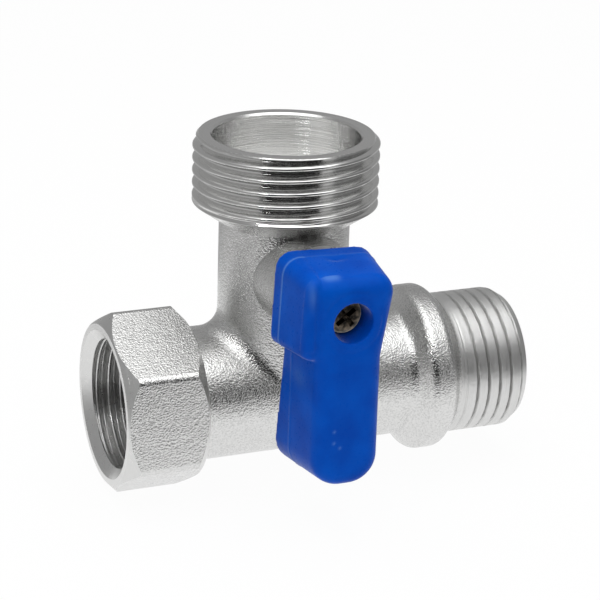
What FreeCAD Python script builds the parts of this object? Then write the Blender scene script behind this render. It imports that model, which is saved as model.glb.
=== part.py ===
import FreeCAD
import Part
import Sketcher
import os
import re

# Washing machine valve: a forged brass tee with a loose union nut at its inlet, a male outlet opposite,
# and a male branch that a quarter-turn ball valve shuts off.
# The run lies along X from the start of the nut's thread, the branch stands up along Z,
# and the stem and its lever face the user along negative Y. All sizes are millimetres.

SIZES = {
    # Run pipe
    "branch_x": 25.7,            # start of the nut's thread to the branch's axis
    "outlet_x": 61.3,            # the same to the outlet's end
    "pipe_r": 9.65,
    "run_bore_r": 6.8,
    "saddle_round": 3.0,         # fillet where the branch grows out of the run
    # Outlet, 1/2 inch pipe thread
    "outlet_thread_r": 10.4775,
    "outlet_chamfer": 1.0,       # radial depth of the end's chamfer
    "outlet_lead": 1.5,          # its length along the pipe
    # Collar before the outlet
    "collar_x": 46.7,            # start of the nut's thread to the middle of the collar
    "collar_height": 1.82,       # above the outlet's thread
    "collar_crest": 3.2,         # width across the crest
    "collar_flank": 1.7,         # length of each flank along the run
    "collar_round": 1.5,
    # Neck that carries the union nut
    "neck_wall": 1.2,
    "flange_lip": 1.0,           # height of the rolled flange above the neck
    "flange_width": 1.2,
    # Union nut, 1/2 inch pipe thread inside
    "nut_length": 12.0,
    "nut_wall": 2.48,            # from the thread's crests to the flats
    "nut_turn": 26.0,            # degrees from +Y to the first corner
    "nut_corner_round": 1.2,
    "nut_face_drop": 0.2,        # the end chamfers reach this far inside the flats
    "nut_chamfer_rise": 0.92,    # axial depth of the end chamfers for each millimetre of radius
    "nut_thread_r": 9.3155,
    "nut_countersink": 1.4,
    "nut_mouth_depth": 1.2,
    "nut_thread_length": 5.2,    # from the countersunk mouth to the relief
    "nut_relief_depth": 1.0,
    "nut_back_wall": 1.9,
    "nut_slack": 0.25,           # play of the nut on the neck and the flange
    # Flat gasket in the nut
    "gasket_width": 2.0,
    "gasket_bore_step": 0.2,     # its hole is this much larger than the run's bore
    "gasket_gap": 0.2,           # to the crests of the nut's thread
    # Branch, 3/4 inch pipe thread
    "branch_r": 9.33,
    "branch_top": 37.8,
    "branch_thread_r": 13.2205,
    "thread_overlap": 1.5,       # the thread starts this far below the mouth's floor
    "branch_cone": 2.7,          # height of the cone under the thread
    "branch_chamfer": 0.8,
    "branch_wall": 2.72,         # from the mouth to the thread's crests
    "mouth_chamfer": 0.3,
    # Ball and its seats
    "ball_z": 18.6,              # height of the ball and of the stem's axis
    "ball_r": 7.5,
    "port_r": 4.4,
    "seat_gap": 0.05,            # between the ball and the cones of its seats
    "seat_margin": 0.2,          # the seats reach this far past the ball
    "seat_lip": 0.62,            # flat rim outside each seat's cone
    "seat_land": 1.32,           # straight bore behind each seat's cone
    "seat_bore_step": 0.2,       # the seats' bores are this much larger than the port
    "chamber_gap": 0.05,         # round the seats in their chamber
    # Retainer screwed in over the outer seat
    "retainer_step": 0.9,        # its thread is this much larger than the seats
    "retainer_gap": 0.05,
    "retainer_length": 3.2,
    "retainer_lead": 0.2,        # thread that goes on below the retainer
    "retainer_drop": 0.4,        # depth of its top under the mouth's floor
    "retainer_slot_width": 2.0,
    "retainer_slot_depth": 1.2,
    # Stem and the boss that carries it
    "boss_r": 7.0,
    "boss_lip": 0.45,            # from the outer ring groove to the boss's end
    "stem_r": 3.15,
    "stem_gap": 0.05,            # running gap of the stem in its bore
    "stem_collar_gap": 0.35,     # from the ball to the stem's collar
    "stem_collar_step": 0.85,    # height of the collar
    "stem_collar_width": 1.3,
    "washer_gap": 0.05,
    "washer_width": 0.6,
    "pocket_gap": 0.15,          # round the collar and the washer
    "slot_depth": 2.15,          # slot in the ball for the stem's tongue
    "tongue_length": 5.4,
    "tongue_width": 2.7,
    "tongue_gap": 0.1,           # at each side of the tongue
    "tongue_end_gap": 0.15,
    "groove_lead": 0.3,          # from the washer's seat to the first ring groove
    "groove_width": 1.3,
    "groove_spacing": 1.75,      # middle to middle
    "groove_depth": 1.1,
    "ring_gap": 0.02,            # inside and outside the rubber rings
    "square_lead": 0.6,          # from the boss's end to the square
    "square_width": 4.4,
    "square_length": 5.3,
    "screw_hole_depth": 5.5,
    # Stop between the boss and the handle
    "handle_gap": 1.0,           # from the boss's end to the handle's back
    "lug_inset": 0.8,            # from the boss's rim to the lug
    "lug_depth": 1.7,
    "lug_width": 3.2,
    "stop_gap": 0.2,             # in front of the lug and behind the handle's ring
    "stop_play": 0.1,            # beside the lug at each limit
    "stop_ring_margin": 0.2,     # the ring starts this much inside the lug
    "stop_ring_width": 1.6,
    # Handle, its heights measured from the stem's axis
    "handle_depth": 11.2,
    "swing_gap": 0.1,            # the back of the lever's tip stays this far out of the collar's reach
    "head_rise": 7.5,            # up to the left end of the top
    "top_fall": 0.5,             # the top is this much lower at its right end
    "head_line": 2.4,            # up to where the left side starts to narrow
    "waist_drop": 5.6,           # down to the waist
    "bend_drop": 7.6,            # down to where the back starts to lean
    "lever_reach": 25.1,         # down to the tip
    "top_half": 7.9,
    "head_left": 6.6,            # the left side above that, which the thumb block covers
    "waist_half": 5.75,
    "tip_half": 5.8,
    "handle_draft": 4.7,         # degrees by which the sides narrow towards the front
    "tip_flat": 1.6,             # half of the straight end between the tip's rounded corners
    "top_corner": 2.7,
    "handle_edge": 2.4,
    "handle_wall": 1.9,
    "hollow_drop": 7.2,          # down to the hollow behind the lever
    "hollow_lift": 3.4,          # from the tip up to the hollow
    "rib_width": 1.4,
    "rib_recess": 2.5,
    "socket_gap": 0.05,
    "handle_web": 1.5,           # between the stem's end and the screw's head
    # Thumb block on the handle's left side
    "block_side": 7.72,          # reach of its foot from the stem's axis
    "block_top_side": 7.1,
    "block_drop": 6.1,           # down to its foot
    "block_step": 0.05,          # its top lies this far below the handle's
    "block_setback": 0.9,        # its front lies this far behind the handle's
    "block_inside": 3.4,
    "block_corner": 2.4,
    "block_edge": 1.3,
    "block_foot_round": 1.6,
    # Screw
    "screw_r": 1.47,
    "screw_length": 6.5,
    "screw_head_r": 2.6,
    "screw_head_height": 1.9,
    "screw_head_rim": 0.9,
    "screw_crown_inset": 1.15,
    "screw_thread_gap": 0.03,
    "screw_clearance": 0.23,     # round the shank in the handle's web
    "recess_gap": 0.25,          # round the head
}

doc = FreeCAD.newDocument("washing_machine_valve")
sheet = doc.addObject("Spreadsheet::Sheet", "Sizes")
for row, (name, value) in enumerate(SIZES.items(), start=1):
    sheet.set(f"A{row}", name)
    sheet.set(f"B{row}", str(value))
    sheet.setAlias(f"B{row}", name)
doc.recompute()

pieces = []


def bind(item, prop, formula):
    """Tie a property to the sheet; each plain word in the formula is a size there."""
    item.setExpression(prop, re.sub(r"\b[a-z]\w*\b(?!\()", r"Sizes.\g<0>", formula))


def place(item, x="0", y="0", z="0"):
    """Tie an item's place to the sheet."""
    for axis, formula in zip("xyz", (x, y, z)):
        bind(item, f"Placement.Base.{axis}", formula)


def body_named(name):
    body = doc.addObject("PartDesign::Body", name)
    body.Label = name
    pieces.append(body)
    return body


def sketch_on(body, name, role, x="0", y="0", z="0"):
    """A sketch on one of the body's own origin planes, moved along that plane's axes and normal."""
    sketch = body.newObject("Sketcher::SketchObject", name)
    plane = next(item for item in body.Origin.OriginFeatures if item.Role == role)
    sketch.AttachmentSupport = [(plane, "")]
    sketch.MapMode = "FlatFace"
    for axis, formula in zip("xyz", (x, y, z)):
        bind(sketch, f"AttachmentOffset.Base.{axis}", formula)
    return sketch


def outline(sketch, corners):
    """A closed outline of straight lines; each corner is two formulas, its distances from the origin."""
    count = len(corners)
    start = FreeCAD.Vector(1, 0, 0)
    turn = FreeCAD.Rotation(FreeCAD.Vector(0, 0, 1), 360.0 / count)
    first = sketch.GeometryCount
    for _ in corners:
        end = turn.multVec(start)
        sketch.addGeometry(Part.LineSegment(start, end))
        start = end
    for step, corner in enumerate(corners):
        line = first + step
        before = first + (step - 1) % count
        sketch.addConstraint(Sketcher.Constraint("Coincident", before, 2, line, 1))
        for kind, formula in zip(("DistanceX", "DistanceY"), corner):
            index = sketch.addConstraint(Sketcher.Constraint(kind, -1, 1, line, 1, 1.0))
            label = f"{kind}_{line}"
            sketch.renameConstraint(index, label)
            bind(sketch, f"Constraints.{label}", formula)


def box_corners(left, right, low, high):
    return [(left, low), (right, low), (right, high), (left, high)]


def turn_profile(body, kind, sketch, axis):
    """Turn a sketch about one of its own axes, as added metal (Revolution) or a cut (Groove)."""
    feature = body.newObject(f"PartDesign::{kind}", f"{sketch.Name}_{kind.lower()}")
    feature.Profile = sketch
    feature.ReferenceAxis = (sketch, [axis])
    feature.Angle = 360.0
    return feature


def turned_on_run(body, kind, name, corners):
    """Corners are (x, radius) about the run's axis."""
    sketch = sketch_on(body, name, "XZ_Plane")
    outline(sketch, corners)
    return turn_profile(body, kind, sketch, "H_Axis")


def turned_on_branch(body, kind, name, corners):
    """Corners are (radius, height) about the branch's axis."""
    sketch = sketch_on(body, name, "XZ_Plane", x="branch_x")
    outline(sketch, corners)
    return turn_profile(body, kind, sketch, "V_Axis")


def turned_on_stem(body, kind, name, corners):
    """Corners are (radius, distance out from the ball's middle) about the stem's axis."""
    sketch = sketch_on(body, name, "XY_Plane", x="branch_x", z="ball_z")
    outline(sketch, [(radius, f"-({out})") for radius, out in corners])
    return turn_profile(body, kind, sketch, "V_Axis")


def pad(body, sketch, length, **settings):
    feature = body.newObject("PartDesign::Pad", f"{sketch.Name}_pad")
    feature.Profile = sketch
    bind(feature, "Length", length)
    for key, value in settings.items():
        setattr(feature, key, value)
    return feature


def pocket(body, sketch, length, **settings):
    feature = body.newObject("PartDesign::Pocket", f"{sketch.Name}_pocket")
    feature.Profile = sketch
    bind(feature, "Length", length)
    for key, value in settings.items():
        setattr(feature, key, value)
    return feature


def facing_sketch(body, name, out, corners):
    """A sketch that faces the user, its corners measured from the branch's axis and from the run's axis."""
    sketch = sketch_on(body, name, "XZ_Plane", x="branch_x", z=out)
    outline(sketch, corners)
    return sketch


def round_edges(body, base, name, radius, wanted):
    """Fillet the edges of the last feature for which wanted(edge) is true."""
    doc.recompute()
    names = [f"Edge{i}" for i, edge in enumerate(base.Shape.Edges, start=1) if wanted(edge)]
    if not names:
        raise RuntimeError(f"{name}: no edge to round")
    fillet = body.newObject("PartDesign::Fillet", name)
    fillet.Base = (base, names)
    bind(fillet, "Radius", radius)
    return fillet


def size(name):
    return sheet.get(name)


def near(one, other):
    return abs(one - other) < 1e-3


def is_circle_at(edge, x, radius):
    """True for a round edge of that radius about the run's axis at that place."""
    if not isinstance(edge.Curve, Part.Circle):
        return False
    middle = edge.Curve.Center
    on_axis = near(middle.y, 0) and near(middle.z, 0)
    return on_axis and near(middle.x, x) and near(edge.Curve.Radius, radius)


def runs_along(edge, direction):
    """True for an edge whose two ends lie along a direction, give or take a draft."""
    ends = [vertex.Point for vertex in edge.Vertexes]
    if len(ends) != 2:
        return False
    return abs((ends[1] - ends[0]).normalize().dot(direction)) > 0.95


ALONG_X = FreeCAD.Vector(1, 0, 0)
ALONG_Y = FreeCAD.Vector(0, 1, 0)

# Valve body: one forging, bored and turned. The run's outer form comes first, with the flange that is
# rolled out after the nut is on, then the branch and its saddle, the stem boss, and the bores.
NUT_MOUTH = "-nut_mouth_depth"
NUT_BACK = "(nut_length - nut_mouth_depth)"
NECK_R = "(run_bore_r + neck_wall)"
FLANGE_R = f"({NECK_R} + flange_lip)"
SHOULDER_X = f"{NUT_BACK} + nut_slack"
FLANGE_BACK = f"{NUT_BACK} - nut_back_wall - nut_slack"
FLANGE_FACE = f"{FLANGE_BACK} - flange_width"
COLLAR_R = "(outlet_thread_r + collar_height)"
CREST_START = "collar_x - collar_crest / 2"
CREST_END = "collar_x + collar_crest / 2"
FOOT_START = f"{CREST_START} - collar_flank"
FOOT_END = f"{CREST_END} + collar_flank"
MOUTH_R = "(branch_thread_r - branch_wall)"
CONE_SUM = "(ball_r + seat_gap) * sqrt(2)"
SEAT_R = "(ball_r + seat_margin)"
SEAT_BORE_R = "(port_r + seat_bore_step)"
SEAT_NEAR = f"({CONE_SUM} - {SEAT_R} + seat_lip)"
SEAT_FAR = f"({CONE_SUM} - {SEAT_BORE_R} + seat_land)"
RETAINER_R = f"({SEAT_R} + retainer_step)"
RETAINER_FOOT = f"ball_z + {SEAT_FAR}"
RETAINER_TOP = f"{RETAINER_FOOT} + retainer_length"
MOUTH_FLOOR = f"({RETAINER_TOP} + retainer_drop)"
THREAD_FOOT = f"({MOUTH_FLOOR} - thread_overlap)"
CONE_FOOT = f"({THREAD_FOOT} - branch_cone)"
COLLAR_START = "(ball_r + stem_collar_gap)"
COLLAR_END = f"({COLLAR_START} + stem_collar_width)"
WASHER_SEAT = f"({COLLAR_END} + washer_gap + washer_width)"
GROOVE_INNER = f"({WASHER_SEAT} + groove_lead + groove_width / 2)"
GROOVE_OUTER = f"({GROOVE_INNER} + groove_spacing)"
BOSS_END = f"({GROOVE_OUTER} + groove_width / 2 + boss_lip)"
HANDLE_BACK = f"({BOSS_END} + handle_gap)"
STEM_COLLAR_R = "(stem_r + stem_collar_step)"
LUG_OUTER = "(boss_r - lug_inset)"
LUG_INNER = f"({LUG_OUTER} - lug_depth)"

valve_body = body_named("valve_body")
turned_on_run(valve_body, "Revolution", "run_form", [
    (FLANGE_FACE, "0"),
    (FLANGE_FACE, FLANGE_R),
    (FLANGE_BACK, FLANGE_R),
    (FLANGE_BACK, NECK_R),
    (SHOULDER_X, NECK_R),
    (SHOULDER_X, "pipe_r"),
    (FOOT_START, "pipe_r"),
    (CREST_START, COLLAR_R),
    (CREST_END, COLLAR_R),
    (FOOT_END, "outlet_thread_r"),
    ("outlet_x - outlet_lead", "outlet_thread_r"),
    ("outlet_x", "outlet_thread_r - outlet_chamfer"),
    ("outlet_x", "0"),
])
branch_form = turned_on_branch(valve_body, "Revolution", "branch_form", [
    ("0", "0"),
    ("branch_r", "0"),
    ("branch_r", CONE_FOOT),
    ("branch_thread_r", THREAD_FOOT),
    ("branch_thread_r", "branch_top - branch_chamfer"),
    ("branch_thread_r - branch_chamfer", "branch_top"),
    ("0", "branch_top"),
])


def on_saddle(edge):
    """True where the branch's wall meets the run's wall."""
    middle = edge.valueAt((edge.FirstParameter + edge.LastParameter) / 2)
    from_run = (middle.y ** 2 + middle.z ** 2) ** 0.5
    from_branch = ((middle.x - size("branch_x")) ** 2 + middle.y ** 2) ** 0.5
    return near(from_run, size("pipe_r")) and near(from_branch, size("branch_r"))


def on_collar(edge):
    """True for the four round edges of the collar."""
    crest = size("collar_crest") / 2
    foot = crest + size("collar_flank")
    thread_r = size("outlet_thread_r")
    crest_r = thread_r + size("collar_height")
    rings = ((-foot, size("pipe_r")), (-crest, crest_r), (crest, crest_r), (foot, thread_r))
    return any(is_circle_at(edge, size("collar_x") + shift, radius) for shift, radius in rings)


saddle = round_edges(valve_body, branch_form, "saddle_fillet", "saddle_round", on_saddle)
round_edges(valve_body, saddle, "collar_fillet", "collar_round", on_collar)
turned_on_stem(valve_body, "Revolution", "boss_form", [
    ("0", "0"),
    ("boss_r", "0"),
    ("boss_r", BOSS_END),
    ("0", BOSS_END),
])
lug = facing_sketch(valve_body, "stop_lug", BOSS_END, box_corners(
    LUG_INNER, LUG_OUTER, "ball_z - lug_width / 2", "ball_z + lug_width / 2"))
pad(valve_body, lug, "handle_gap - stop_gap")
turned_on_run(valve_body, "Groove", "run_bore", box_corners(FLANGE_FACE, "outlet_x", "0", "run_bore_r"))
turned_on_branch(valve_body, "Groove", "branch_bore", [
    ("0", "0"),
    ("port_r", "0"),
    ("port_r", f"ball_z - {SEAT_FAR}"),
    (f"{SEAT_R} + chamber_gap", f"ball_z - {SEAT_FAR}"),
    (f"{SEAT_R} + chamber_gap", f"{RETAINER_FOOT} - retainer_lead"),
    (RETAINER_R, f"{RETAINER_FOOT} - retainer_lead"),
    (RETAINER_R, MOUTH_FLOOR),
    (MOUTH_R, MOUTH_FLOOR),
    (MOUTH_R, "branch_top - mouth_chamfer"),
    (f"{MOUTH_R} + mouth_chamfer", "branch_top"),
    ("0", "branch_top"),
])
turned_on_stem(valve_body, "Groove", "stem_bore", [
    ("0", "0"),
    (f"{STEM_COLLAR_R} + pocket_gap", "0"),
    (f"{STEM_COLLAR_R} + pocket_gap", WASHER_SEAT),
    ("stem_r + stem_gap", WASHER_SEAT),
    ("stem_r + stem_gap", BOSS_END),
    ("0", BOSS_END),
])

# Union nut: hexagon bar, chamfered at both ends, with a countersunk thread, a relief behind it
# and a back wall that the flange of the neck holds.
union_nut = body_named("union_nut")
FLAT_R = "(nut_thread_r + nut_wall)"
CORNER_R = f"({FLAT_R} / cos(30))"
FACE_R = f"({FLAT_R} - nut_face_drop)"
CHAMFER_DEPTH = f"({CORNER_R} - {FACE_R}) * nut_chamfer_rise"
RELIEF_R = "nut_thread_r + nut_relief_depth"
hexagon = sketch_on(union_nut, "hexagon", "YZ_Plane", z=NUT_MOUTH)
outline(hexagon, [(f"{CORNER_R} * cos(nut_turn + {angle})", f"{CORNER_R} * sin(nut_turn + {angle})")
                  for angle in range(0, 360, 60)])
hexagon_pad = pad(union_nut, hexagon, "nut_length")
round_edges(union_nut, hexagon_pad, "corner_fillet", "nut_corner_round",
            lambda edge: runs_along(edge, ALONG_X))
turned_on_run(union_nut, "Groove", "mouth_chamfer_cut", [
    (NUT_MOUTH, FACE_R),
    (f"{NUT_MOUTH} + {CHAMFER_DEPTH}", CORNER_R),
    (NUT_MOUTH, CORNER_R),
])
turned_on_run(union_nut, "Groove", "back_chamfer_cut", [
    (NUT_BACK, FACE_R),
    (f"{NUT_BACK} - {CHAMFER_DEPTH}", CORNER_R),
    (NUT_BACK, CORNER_R),
])
turned_on_run(union_nut, "Groove", "nut_bore", [
    (NUT_MOUTH, "0"),
    (NUT_MOUTH, "nut_thread_r + nut_countersink"),
    ("0", "nut_thread_r"),
    ("nut_thread_length", "nut_thread_r"),
    ("nut_thread_length", RELIEF_R),
    (f"{NUT_BACK} - nut_back_wall", RELIEF_R),
    (f"{NUT_BACK} - nut_back_wall", f"{NECK_R} + nut_slack"),
    (NUT_BACK, f"{NECK_R} + nut_slack"),
    (NUT_BACK, "0"),
])

# Flat gasket, against the flange.
union_gasket = body_named("union_gasket")
turned_on_run(union_gasket, "Revolution", "gasket_form", box_corners(
    f"{FLANGE_FACE} - gasket_width", FLANGE_FACE,
    "run_bore_r + gasket_bore_step", "nut_thread_r - gasket_gap"))

# Ball: a sphere with a through bore, and a slot across it that the stem's tongue turns.
SLOT_WIDTH = "(tongue_width + 2 * tongue_gap)"
sphere = doc.addObject("Part::Sphere", "ball_sphere")
bind(sphere, "Radius", "ball_r")
place(sphere, "branch_x", "0", "ball_z")
bore = doc.addObject("Part::Cylinder", "ball_bore")
bind(bore, "Radius", "port_r")
bind(bore, "Height", "2 * ball_r")
place(bore, "branch_x", "0", "ball_z - ball_r")
slot = doc.addObject("Part::Box", "ball_slot")
bind(slot, "Length", "2 * ball_r")
bind(slot, "Width", "slot_depth")
bind(slot, "Height", SLOT_WIDTH)
place(slot, "branch_x - ball_r", "-ball_r", f"ball_z - {SLOT_WIDTH} / 2")
cutters = doc.addObject("Part::Fuse", "ball_cutters")
cutters.Base = bore
cutters.Tool = slot
ball = doc.addObject("Part::Cut", "ball")
ball.Base = sphere
ball.Tool = cutters
ball.Label = "ball"
pieces.append(ball)

# Seats: two equal rings, each with a cone that touches the ball at 45 degrees.
for seat_name, side in (("inner_seat", "-"), ("outer_seat", "+")):
    seat = body_named(seat_name)
    turned_on_branch(seat, "Revolution", f"{seat_name}_form", [
        (SEAT_BORE_R, f"ball_z {side} {SEAT_FAR}"),
        (SEAT_R, f"ball_z {side} {SEAT_FAR}"),
        (SEAT_R, f"ball_z {side} {SEAT_NEAR}"),
        (f"{SEAT_R} - seat_lip", f"ball_z {side} {SEAT_NEAR}"),
        (SEAT_BORE_R, f"ball_z {side} ({CONE_SUM} - {SEAT_BORE_R})"),
    ])

# Retainer: a short threaded bush with a slot across its top for the key that screws it down.
seat_retainer = body_named("seat_retainer")
turned_on_branch(seat_retainer, "Revolution", "retainer_form", box_corners(
    SEAT_BORE_R, f"{RETAINER_R} - retainer_gap", RETAINER_FOOT, RETAINER_TOP))
retainer_slot = sketch_on(seat_retainer, "retainer_slot", "XY_Plane", x="branch_x", z=RETAINER_TOP)
outline(retainer_slot, box_corners(f"-{RETAINER_R}", RETAINER_R,
                                   "-retainer_slot_width / 2", "retainer_slot_width / 2"))
pocket(seat_retainer, retainer_slot, "retainer_slot_depth")

# Stem: turned with a collar and two ring grooves, milled to a tongue inside and a square outside,
# and drilled for the handle's screw.
SQUARE_START = f"({BOSS_END} + square_lead)"
STEM_END = f"({SQUARE_START} + square_length)"
TONGUE_TIP = "(ball_r - slot_depth + tongue_end_gap)"
GROOVE_FLOOR_R = "stem_r - groove_depth"
SCREW_HOLE_R = "screw_r + screw_thread_gap"
stem = body_named("stem")
turned_on_stem(stem, "Revolution", "stem_form", [
    ("0", COLLAR_START),
    (STEM_COLLAR_R, COLLAR_START),
    (STEM_COLLAR_R, COLLAR_END),
    ("stem_r", COLLAR_END),
    ("stem_r", f"{GROOVE_INNER} - groove_width / 2"),
    (GROOVE_FLOOR_R, f"{GROOVE_INNER} - groove_width / 2"),
    (GROOVE_FLOOR_R, f"{GROOVE_INNER} + groove_width / 2"),
    ("stem_r", f"{GROOVE_INNER} + groove_width / 2"),
    ("stem_r", f"{GROOVE_OUTER} - groove_width / 2"),
    (GROOVE_FLOOR_R, f"{GROOVE_OUTER} - groove_width / 2"),
    (GROOVE_FLOOR_R, f"{GROOVE_OUTER} + groove_width / 2"),
    ("stem_r", f"{GROOVE_OUTER} + groove_width / 2"),
    ("stem_r", SQUARE_START),
    ("0", SQUARE_START),
])
square = facing_sketch(stem, "drive_square", SQUARE_START, box_corners(
    "-square_width / 2", "square_width / 2", "ball_z - square_width / 2", "ball_z + square_width / 2"))
pad(stem, square, "square_length")
tongue = facing_sketch(stem, "tongue", TONGUE_TIP, box_corners(
    "-tongue_length / 2", "tongue_length / 2", "ball_z - tongue_width / 2", "ball_z + tongue_width / 2"))
pad(stem, tongue, f"{COLLAR_START} - {TONGUE_TIP}")
turned_on_stem(stem, "Groove", "screw_hole", box_corners(
    "0", SCREW_HOLE_R, f"{STEM_END} - screw_hole_depth", STEM_END))

# Rubber rings that fill the stem's grooves.
RING_CORD_R = "((groove_depth + stem_gap) / 2 - ring_gap)"
for ring_name, groove in (("stem_o_ring_inner", GROOVE_INNER), ("stem_o_ring_outer", GROOVE_OUTER)):
    ring = doc.addObject("Part::Torus", ring_name)
    bind(ring, "Radius1", f"{GROOVE_FLOOR_R} + ring_gap + {RING_CORD_R}")
    bind(ring, "Radius2", RING_CORD_R)
    ring.Placement.Rotation = FreeCAD.Rotation(ALONG_X, 90)
    place(ring, "branch_x", f"-{groove}", "ball_z")
    ring.Label = ring_name
    pieces.append(ring)

# Thrust washer between the stem's collar and the boss.
thrust_washer = body_named("stem_thrust_washer")
turned_on_stem(thrust_washer, "Revolution", "washer_form", box_corners(
    "stem_r + stem_gap", STEM_COLLAR_R, f"{WASHER_SEAT} - washer_width", WASHER_SEAT))

# Handle: one plastic moulding. The lever is a flat-fronted block with a wider head. It is hollow behind
# with one rib, and its head holds the stem's square. A thumb block stands out of its left side.
HANDLE_FRONT = f"({HANDLE_BACK} + handle_depth)"
TIP_BACK = f"({COLLAR_R} + swing_gap)"
HANDLE_TOP = "(ball_z + head_rise)"
HANDLE_BOTTOM = "(ball_z - lever_reach)"
HEAD_LINE = "ball_z + head_line"
WAIST_LINE = "ball_z - waist_drop"
lever = doc.addObject("PartDesign::Body", "lever")
lever_outline = facing_sketch(lever, "lever_outline", TIP_BACK, [
    ("-tip_half", HANDLE_BOTTOM),
    ("tip_half", HANDLE_BOTTOM),
    ("waist_half", WAIST_LINE),
    ("top_half", f"{HANDLE_TOP} - top_fall"),
    ("-head_left", HANDLE_TOP),
    ("-head_left", HEAD_LINE),
    ("-waist_half", WAIST_LINE),
])
lever_pad = pad(lever, lever_outline, f"{HANDLE_FRONT} - {TIP_BACK}")
bind(lever_pad, "TaperAngle", "-handle_draft")


def tip_corner(edge):
    """True for the two long edges at the lever's tip."""
    half_way = size("ball_z") - (size("waist_drop") + size("lever_reach")) / 2
    return runs_along(edge, ALONG_Y) and edge.CenterOfMass.z < half_way


def top_corner(edge):
    """True for the two long edges at the top of the head."""
    half_way = size("ball_z") + (size("head_line") + size("head_rise")) / 2
    return runs_along(edge, ALONG_Y) and edge.CenterOfMass.z > half_way


def at_front_of(feature):
    """A test for the edges that lie in the front of that feature."""
    doc.recompute()
    front = min(vertex.Y for vertex in feature.Shape.Vertexes)
    return lambda edge: all(near(vertex.Y, front) for vertex in edge.Vertexes)


tip_corners = round_edges(lever, lever_pad, "tip_corners", "tip_half - tip_flat", tip_corner)
top_corners = round_edges(lever, tip_corners, "top_corners", "top_corner", top_corner)
round_edges(lever, top_corners, "lever_front", "handle_edge", at_front_of(lever_pad))
lean = sketch_on(lever, "back_lean", "YZ_Plane", z="branch_x")
outline(lean, [
    (f"-{HANDLE_BACK}", f"{HANDLE_TOP} + handle_gap"),
    (f"-{HANDLE_BACK}", "ball_z - bend_drop"),
    (f"-{TIP_BACK}", HANDLE_BOTTOM),
    (f"-{TIP_BACK}", f"{HANDLE_TOP} + handle_gap"),
])
pocket(lever, lean, "4 * top_half", Midplane=True)
HOLLOW_SIDE = "(tip_half - handle_wall)"
HOLLOW_FOOT = f"{HANDLE_BOTTOM} + hollow_lift"
HOLLOW_TOP = "ball_z - hollow_drop"
for hollow_name, left, right in (("left_hollow", f"-{HOLLOW_SIDE}", "-rib_width / 2"),
                                 ("right_hollow", "rib_width / 2", HOLLOW_SIDE)):
    hollow = facing_sketch(lever, hollow_name, TIP_BACK, box_corners(left, right, HOLLOW_FOOT, HOLLOW_TOP))
    pocket(lever, hollow, f"{HANDLE_FRONT} - handle_wall - {TIP_BACK}", Reversed=True)
rib_cut = facing_sketch(lever, "rib_cut", TIP_BACK, box_corners(
    "-rib_width / 2", "rib_width / 2", HOLLOW_FOOT, HOLLOW_TOP))
pocket(lever, rib_cut, f"{HANDLE_BACK} - {TIP_BACK} + rib_recess", Reversed=True)
RING_INNER = f"({LUG_INNER} - stop_ring_margin)"
RING_OUTER = f"({RING_INNER} + stop_ring_width)"
NOTCH_EDGE = "(lug_width / 2 + stop_play)"
NOTCH_REACH = f"(2 * {RING_OUTER})"
turned_on_stem(lever, "Revolution", "stop_ring", box_corners(
    RING_INNER, RING_OUTER, f"{BOSS_END} + stop_gap", HANDLE_BACK))
notch = facing_sketch(lever, "stop_notch", BOSS_END, box_corners(
    f"-{NOTCH_EDGE}", NOTCH_REACH, f"ball_z - {NOTCH_REACH}", f"ball_z + {NOTCH_EDGE}"))
pocket(lever, notch, "handle_gap", Reversed=True)
SOCKET_HALF = "(square_width / 2 + socket_gap)"
socket = facing_sketch(lever, "square_socket", BOSS_END, box_corners(
    f"-{SOCKET_HALF}", SOCKET_HALF, f"ball_z - {SOCKET_HALF}", f"ball_z + {SOCKET_HALF}"))
pocket(lever, socket, f"{STEM_END} - {BOSS_END}", Reversed=True)
RECESS_FLOOR = f"({STEM_END} + handle_web)"
turned_on_stem(lever, "Groove", "screw_recess", [
    ("0", STEM_END),
    ("screw_r + screw_clearance", STEM_END),
    ("screw_r + screw_clearance", RECESS_FLOOR),
    ("screw_head_r + recess_gap", RECESS_FLOOR),
    ("screw_head_r + recess_gap", HANDLE_FRONT),
    ("0", HANDLE_FRONT),
])

BLOCK_FOOT = "ball_z - block_drop"
BLOCK_TOP = f"{HANDLE_TOP} - block_step - ({HANDLE_BACK} - {TIP_BACK}) * tan(handle_draft)"
thumb_block = doc.addObject("PartDesign::Body", "thumb_block")
block_outline = facing_sketch(thumb_block, "block_outline", HANDLE_BACK, [
    ("-block_side", BLOCK_FOOT),
    ("-block_inside", BLOCK_FOOT),
    ("-block_inside", HEAD_LINE),
    ("-(head_left - top_corner)", BLOCK_TOP),
    ("-block_top_side", BLOCK_TOP),
])
block_pad = pad(thumb_block, block_outline, "handle_depth - block_setback")
bind(block_pad, "TaperAngle", "-handle_draft")


def block_outside(edge):
    """True for edges on the thumb block's outer side."""
    return edge.CenterOfMass.x < size("branch_x") - (size("block_top_side") + size("block_inside")) / 2


def block_shoulder(edge):
    """True for the thumb block's upper outer edge."""
    upper = edge.CenterOfMass.z > size("ball_z")
    return runs_along(edge, ALONG_Y) and block_outside(edge) and upper


def block_foot(edge):
    """True for the thumb block's lower outer edge."""
    lower = edge.CenterOfMass.z < size("ball_z")
    return runs_along(edge, ALONG_Y) and block_outside(edge) and lower


shoulder = round_edges(thumb_block, block_pad, "block_shoulder", "block_corner", block_shoulder)
foot = round_edges(thumb_block, shoulder, "block_foot", "block_foot_round", block_foot)
at_block_front = at_front_of(block_pad)
round_edges(thumb_block, foot, "block_front", "block_edge",
            lambda edge: at_block_front(edge) and block_outside(edge))
handle = doc.addObject("Part::Fuse", "handle")
handle.Base = lever
handle.Tool = thumb_block
handle.Label = "handle"
pieces.append(handle)

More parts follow.
